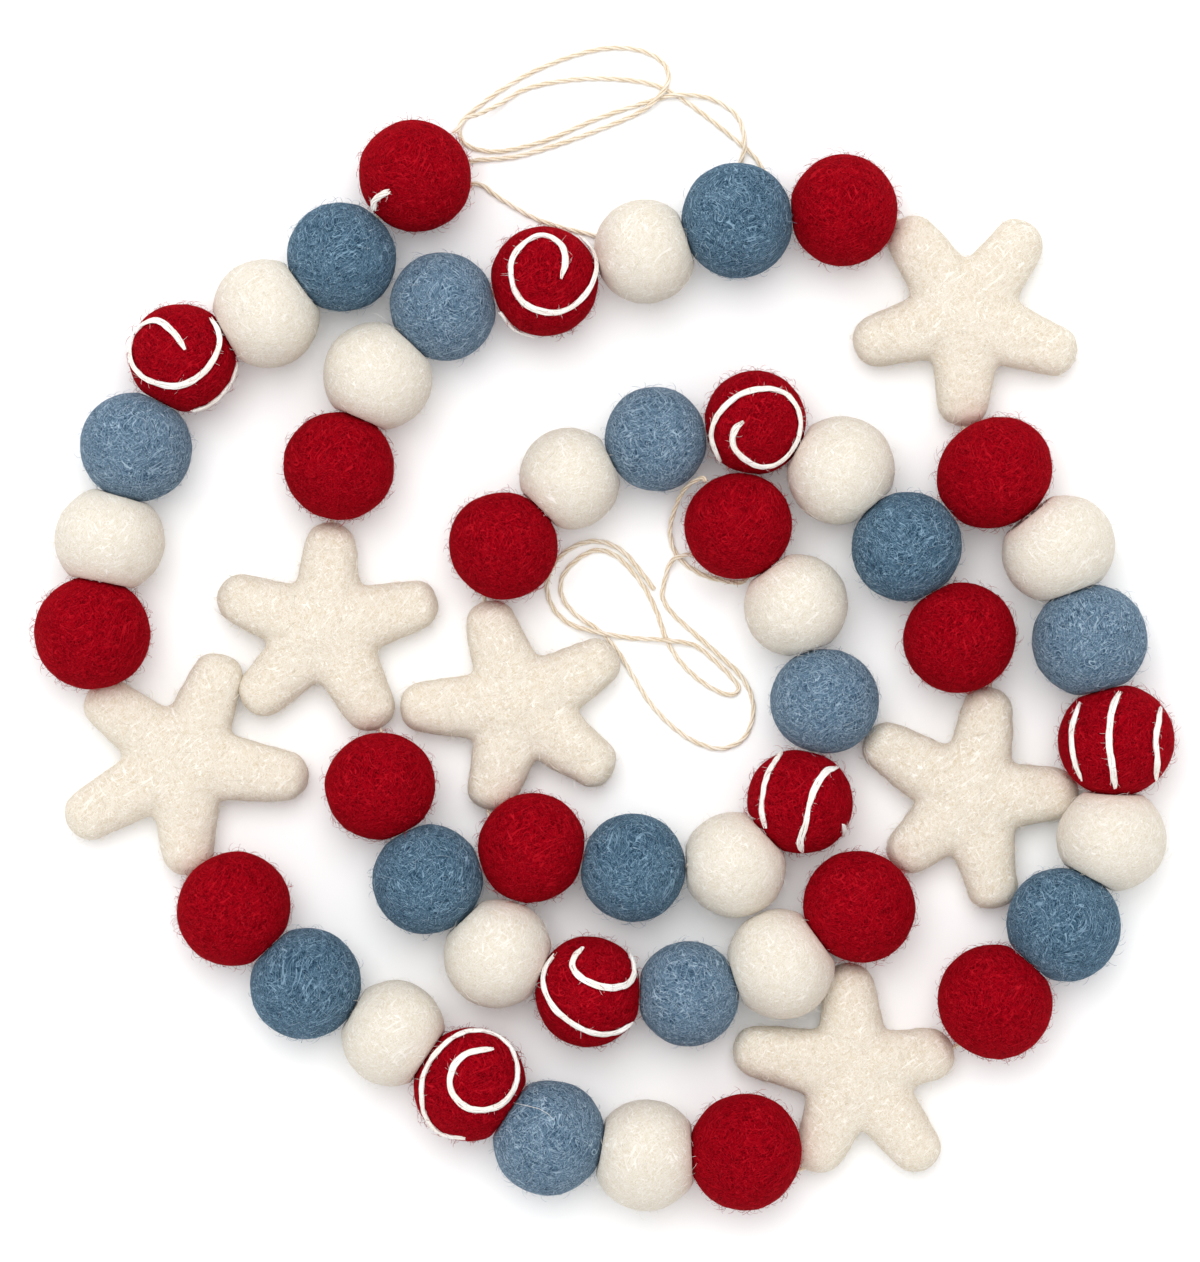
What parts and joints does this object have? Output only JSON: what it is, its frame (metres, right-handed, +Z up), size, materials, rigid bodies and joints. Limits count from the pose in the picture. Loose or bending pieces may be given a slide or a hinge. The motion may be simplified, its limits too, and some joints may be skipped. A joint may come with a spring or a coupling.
{
  "type": "felt star garland",
  "caption": "Garland of felted wool balls and soft five-armed felt stars threaded on cotton twine, lying flat in an inward spiral with loose tying ends.",
  "frame": {"origin": "on the table, under the middle of the felt pieces' box (the loose twine ends left out)", "axes": "X to the right and Y away from the viewer of the flat lay, +Z up"},
  "size_m": [0.2564, 0.2635, 0.0263],
  "materials": {
    "red_felt": "needle-felted deep red wool",
    "dark_blue_felt": "needle-felted steel blue wool",
    "light_blue_felt": "needle-felted dusty light blue wool",
    "ivory_felt": "loosely felted ivory wool",
    "cream_felt": "felted cream wool",
    "twine": "two-ply natural cotton twine",
    "white_yarn": "white wool yarn"
  },
  "bodies": {
    "root": {"ball_01_red": "red_felt", "ball_02_dark_blue": "dark_blue_felt", "ball_03_ivory": "ivory_felt", "ball_04_swirl_red": "red_felt", "ball_05_light_blue": "light_blue_felt", "ball_06_ivory": "ivory_felt", "ball_07_red": "red_felt", "star_1": "cream_felt", "ball_08_red": "red_felt", "ball_09_dark_blue": "dark_blue_felt", "ball_10_ivory": "ivory_felt", "ball_11_swirl_red": "red_felt", "ball_12_light_blue": "light_blue_felt", "ball_13_ivory": "ivory_felt", "ball_14_red": "red_felt", "star_2": "cream_felt", "ball_15_red": "red_felt", "ball_16_dark_blue": "dark_blue_felt", "ball_17_ivory": "ivory_felt", "ball_18_swirl_red": "red_felt", "ball_19_light_blue": "light_blue_felt", "ball_20_ivory": "ivory_felt", "ball_21_red": "red_felt", "star_3": "cream_felt", "ball_22_red": "red_felt", "ball_23_dark_blue": "dark_blue_felt", "ball_24_ivory": "ivory_felt", "ball_25_swirl_red": "red_felt", "ball_26_light_blue": "light_blue_felt", "ball_27_ivory": "ivory_felt", "ball_28_red": "red_felt", "star_4": "cream_felt", "ball_29_red": "red_felt", "ball_30_dark_blue": "dark_blue_felt", "ball_31_ivory": "ivory_felt", "ball_32_swirl_red": "red_felt", "ball_33_light_blue": "light_blue_felt", "ball_34_ivory": "ivory_felt", "ball_35_red": "red_felt", "star_5": "cream_felt", "ball_36_red": "red_felt", "ball_37_dark_blue": "dark_blue_felt", "ball_38_ivory": "ivory_felt", "ball_39_swirl_red": "red_felt", "ball_40_light_blue": "light_blue_felt", "ball_41_ivory": "ivory_felt", "ball_42_red": "red_felt", "star_6": "cream_felt", "ball_43_red": "red_felt", "ball_44_dark_blue": "dark_blue_felt", "ball_45_ivory": "ivory_felt", "ball_46_swirl_red": "red_felt", "ball_47_light_blue": "light_blue_felt", "ball_48_ivory": "ivory_felt", "ball_49_red": "red_felt", "twine_strand": "twine", "twine_tail_outer": "twine", "twine_tail_inner": "twine", "yarn_end": "white_yarn"}
  },
  "joints": []
}
